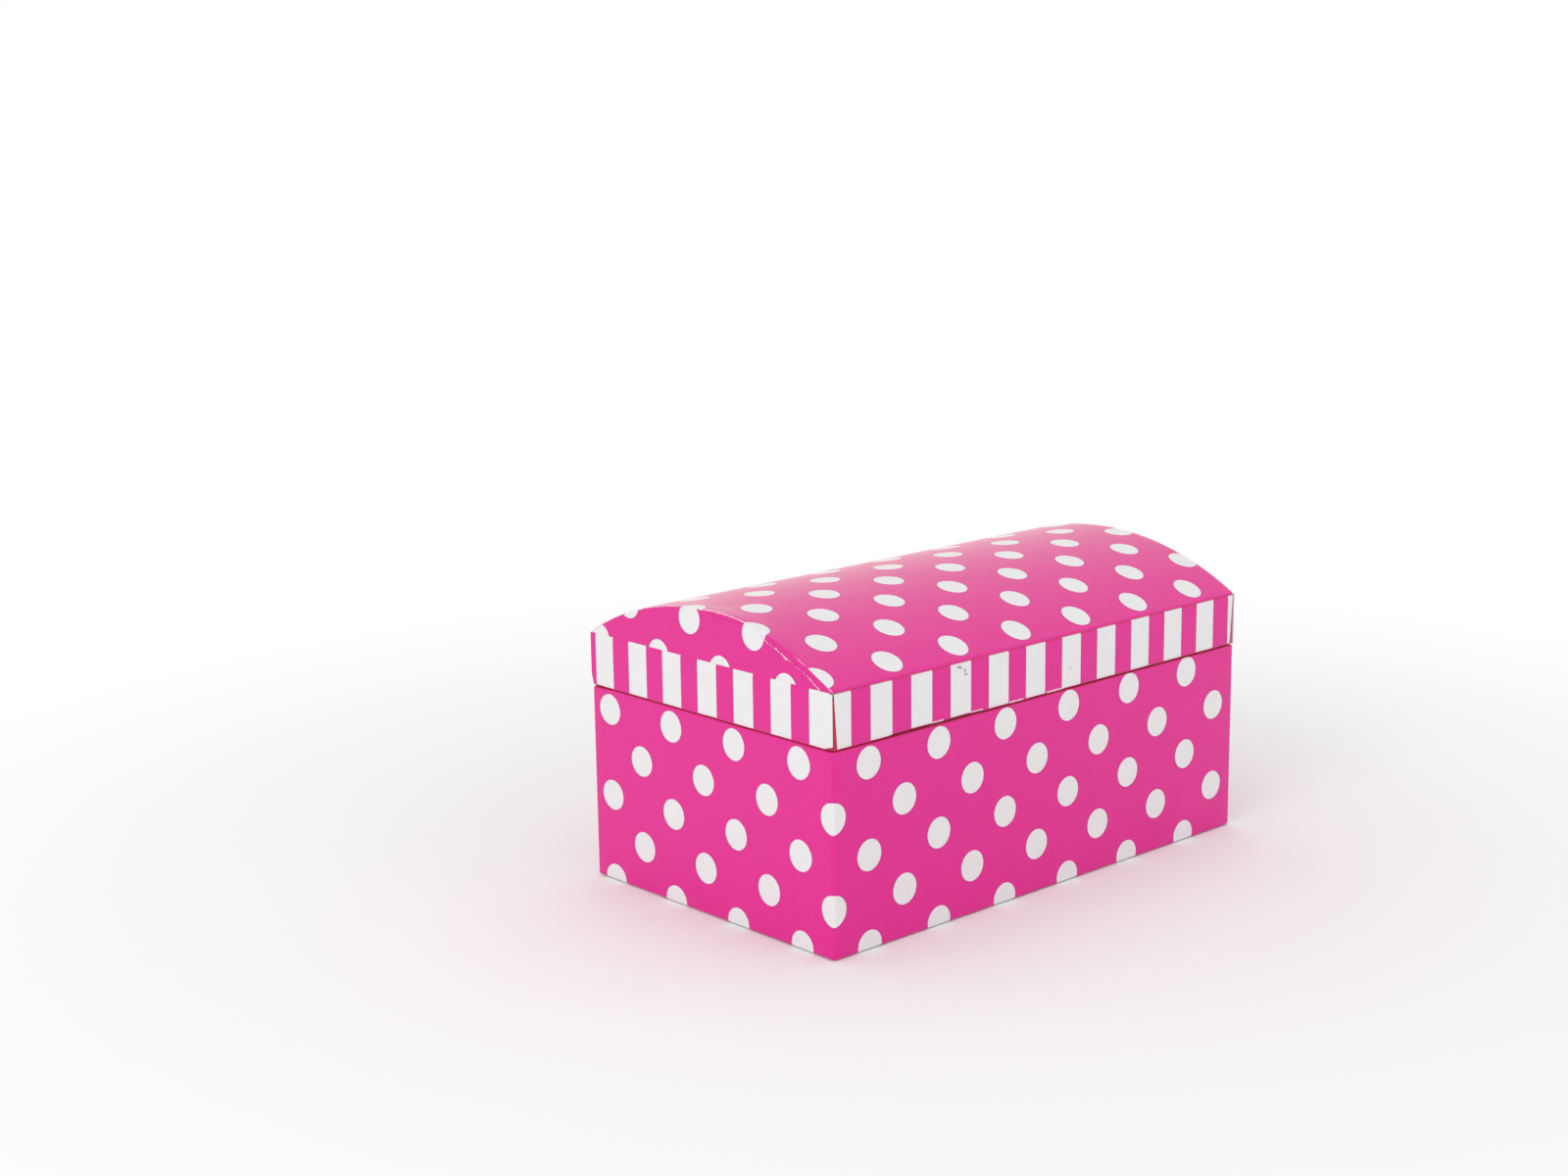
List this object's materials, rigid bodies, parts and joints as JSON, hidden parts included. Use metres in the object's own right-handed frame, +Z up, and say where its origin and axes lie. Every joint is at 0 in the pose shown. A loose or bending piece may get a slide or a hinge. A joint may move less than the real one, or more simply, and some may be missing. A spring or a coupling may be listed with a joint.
{
  "type": "keepsake chest",
  "caption": "Small rectangular keepsake chest of paper-wrapped board, with a shallow domed lid that swings up on a paper hinge along the back.",
  "frame": {"origin": "under the middle of the closed chest, on the surface that it stands on", "axes": "+X along the length, to the right seen from the front; +Y towards the hinge at the back; +Z up"},
  "size_m": [0.16, 0.096, 0.0832],
  "materials": {
    "greyboard": "matt grey-brown recycled board",
    "dotted_paper": "satin coated paper, pink with white dots",
    "striped_paper": "satin coated paper, pink and white stripes",
    "plain_paper": "matt uncoated white lining paper",
    "gummed_tape": "matt brown gummed tape"
  },
  "bodies": {
    "base": {"base_floor_board": "greyboard", "base_front_board": "greyboard", "base_back_board": "greyboard", "base_left_board": "greyboard", "base_right_board": "greyboard", "base_tape_front_left": "gummed_tape", "base_tape_front_right": "gummed_tape", "base_tape_back_left": "gummed_tape", "base_tape_back_right": "gummed_tape", "base_dotted_wrap": "dotted_paper", "base_underside_sheet": "plain_paper", "base_wall_lining": "plain_paper", "base_floor_pad": "plain_paper", "hinge_strip_base_half": "striped_paper", "hinge_lining_base_half": "plain_paper"},
    "lid": {"lid_front_lip_board": "greyboard", "lid_back_lip_board": "greyboard", "lid_left_end_board": "greyboard", "lid_right_end_board": "greyboard", "lid_dome_card": "greyboard", "lid_tape_front_left": "gummed_tape", "lid_tape_front_right": "gummed_tape", "lid_tape_back_left": "gummed_tape", "lid_tape_back_right": "gummed_tape", "lid_dotted_dome_wrap": "dotted_paper", "lid_left_dotted_paper": "dotted_paper", "lid_right_dotted_paper": "dotted_paper", "lid_front_striped_strip": "striped_paper", "lid_left_striped_strip": "striped_paper", "lid_right_striped_strip": "striped_paper", "hinge_strip_lid_half": "striped_paper", "hinge_lining_lid_half": "plain_paper", "lid_dome_lining": "plain_paper", "lid_left_end_lining": "plain_paper", "lid_right_end_lining": "plain_paper"}
  },
  "joints": [
    {"name": "lid_hinge", "type": "hinge", "parent": "base", "child": "lid", "pos_m": [0, 0.048, 0.0546], "axis": [-1, 0, 0], "range_deg": [0, 112]}
  ]
}
